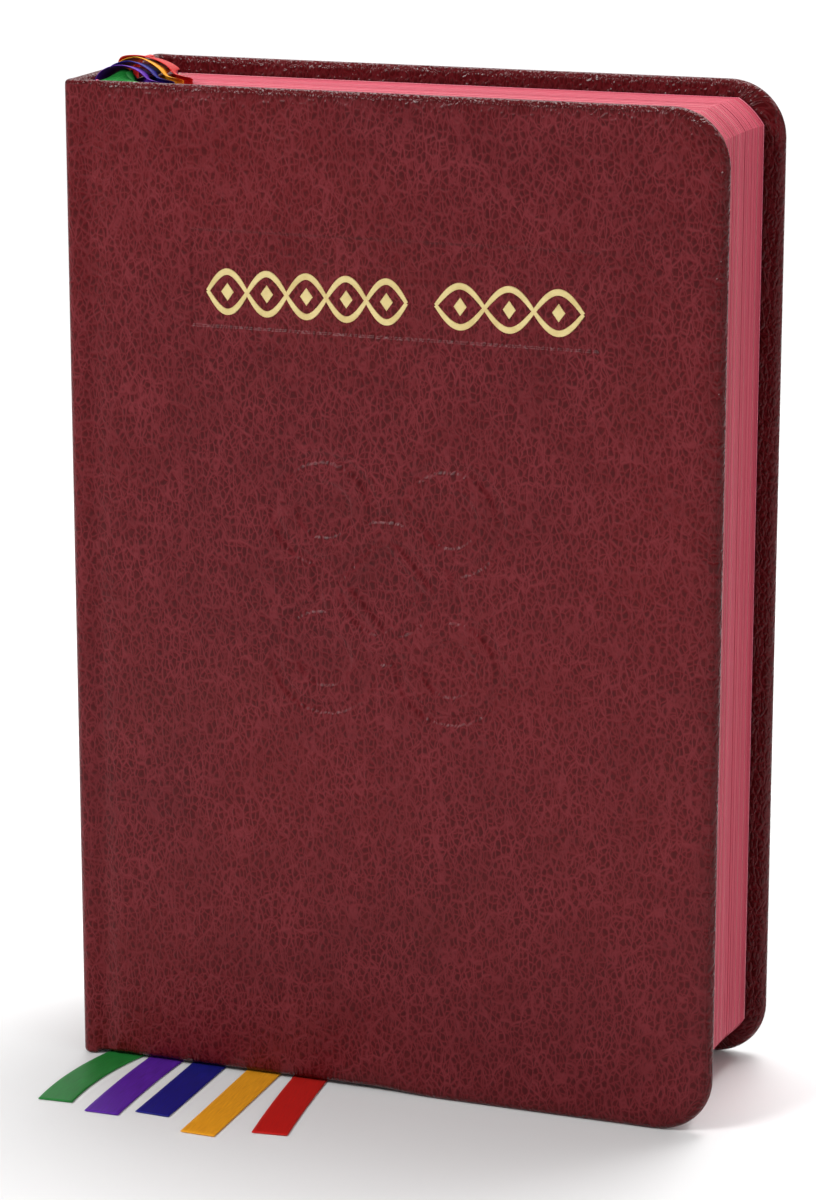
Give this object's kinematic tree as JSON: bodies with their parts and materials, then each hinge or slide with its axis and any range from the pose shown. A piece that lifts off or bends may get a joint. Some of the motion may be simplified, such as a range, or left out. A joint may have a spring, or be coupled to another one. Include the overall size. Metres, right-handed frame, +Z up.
{
  "type": "prayer book",
  "caption": "Limp leather prayer book standing on its tail edge, with stained page edges, rounded corners and ribbon markers; covers, endpapers and leaves turn.",
  "frame": {"origin": "middle of the closed book's footprint, on the surface it stands on", "axes": "+X from the spine to the fore-edge, -Y towards the front cover's side, +Z up along the spine"},
  "size_m": [0.118, 0.0689, 0.1805],
  "materials": {
    "leather": "dark maroon grained leather, semi-gloss",
    "gilt": "stamped gold foil, semi-gloss",
    "card": "grey flexible card, matte",
    "endpaper": "cream endpaper, matte",
    "pages": "thin cream paper with rose-red stained edges",
    "lining": "stained lining paper, matte",
    "mull": "open cotton cloth, matte",
    "band_silk": "silk-wound headband, satin",
    "ribbon_green": "satin ribbon",
    "ribbon_purple": "satin ribbon",
    "ribbon_blue": "satin ribbon",
    "ribbon_gold": "satin ribbon",
    "ribbon_red": "satin ribbon"
  },
  "bodies": {
    "book_block": {"spine_leather": "leather", "spine_inlay": "card", "mull": "mull", "spine_lining": "lining", "headband": "band_silk", "tailband": "band_silk", "page_section_03": "pages", "page_section_04": "pages", "page_section_05": "pages", "page_section_06": "pages", "page_section_07": "pages", "page_section_08": "pages", "page_section_09": "pages", "page_section_10": "pages", "page_section_11": "pages", "page_section_12": "pages", "ribbon_green": "ribbon_green", "ribbon_purple": "ribbon_purple", "ribbon_blue": "ribbon_blue", "ribbon_gold": "ribbon_gold", "ribbon_red": "ribbon_red"},
    "front_cover": {"front_cover_leather": "leather", "gilt_ornament_left": "gilt", "gilt_ornament_right": "gilt", "front_board": "card", "front_pastedown": "endpaper"},
    "back_cover": {"back_cover_leather": "leather", "back_board": "card", "back_pastedown": "endpaper"},
    "front_flyleaf": {"front_flyleaf": "endpaper"},
    "back_flyleaf": {"back_flyleaf": "endpaper"},
    "front_section_1": {"page_section_01": "pages"},
    "front_section_2": {"page_section_02": "pages"},
    "back_section_1": {"page_section_14": "pages"},
    "back_section_2": {"page_section_13": "pages"}
  },
  "joints": [
    {"name": "front_cover_turn", "type": "hinge", "parent": "book_block", "child": "front_cover", "pos_m": [-0.056, -0.0205, 0.089], "axis": [0, 0, -1], "range_deg": [0, 170]},
    {"name": "front_flyleaf_turn", "type": "hinge", "parent": "book_block", "child": "front_flyleaf", "pos_m": [-0.053, -0.0172, 0.089], "axis": [0, 0, -1], "range_deg": [0, 93.5]},
    {"name": "front_section_1_turn", "type": "hinge", "parent": "book_block", "child": "front_section_1", "pos_m": [-0.05237, -0.0165, 0.089], "axis": [0, 0, -1], "range_deg": [0, 76.5]},
    {"name": "front_section_2_turn", "type": "hinge", "parent": "book_block", "child": "front_section_2", "pos_m": [-0.05271, -0.01432, 0.089], "axis": [0, 0, -1], "range_deg": [0, 59.5]},
    {"name": "back_cover_turn", "type": "hinge", "parent": "book_block", "child": "back_cover", "pos_m": [-0.056, 0.0205, 0.089], "axis": [0, 0, 1], "range_deg": [0, 170]},
    {"name": "back_flyleaf_turn", "type": "hinge", "parent": "book_block", "child": "back_flyleaf", "pos_m": [-0.053, 0.0172, 0.089], "axis": [0, 0, 1], "range_deg": [0, 93.5]},
    {"name": "back_section_1_turn", "type": "hinge", "parent": "book_block", "child": "back_section_1", "pos_m": [-0.05237, 0.0165, 0.089], "axis": [0, 0, 1], "range_deg": [0, 76.5]},
    {"name": "back_section_2_turn", "type": "hinge", "parent": "book_block", "child": "back_section_2", "pos_m": [-0.05271, 0.01432, 0.089], "axis": [0, 0, 1], "range_deg": [0, 59.5]}
  ],
  "couplings": [
    {"joint": "front_section_1_turn", "follows": "front_cover_turn", "ratio": 0.45},
    {"joint": "front_section_2_turn", "follows": "front_cover_turn", "ratio": 0.35},
    {"joint": "front_flyleaf_turn", "follows": "front_cover_turn", "ratio": 0.55},
    {"joint": "back_section_1_turn", "follows": "back_cover_turn", "ratio": 0.45},
    {"joint": "back_section_2_turn", "follows": "back_cover_turn", "ratio": 0.35},
    {"joint": "back_flyleaf_turn", "follows": "back_cover_turn", "ratio": 0.55}
  ]
}
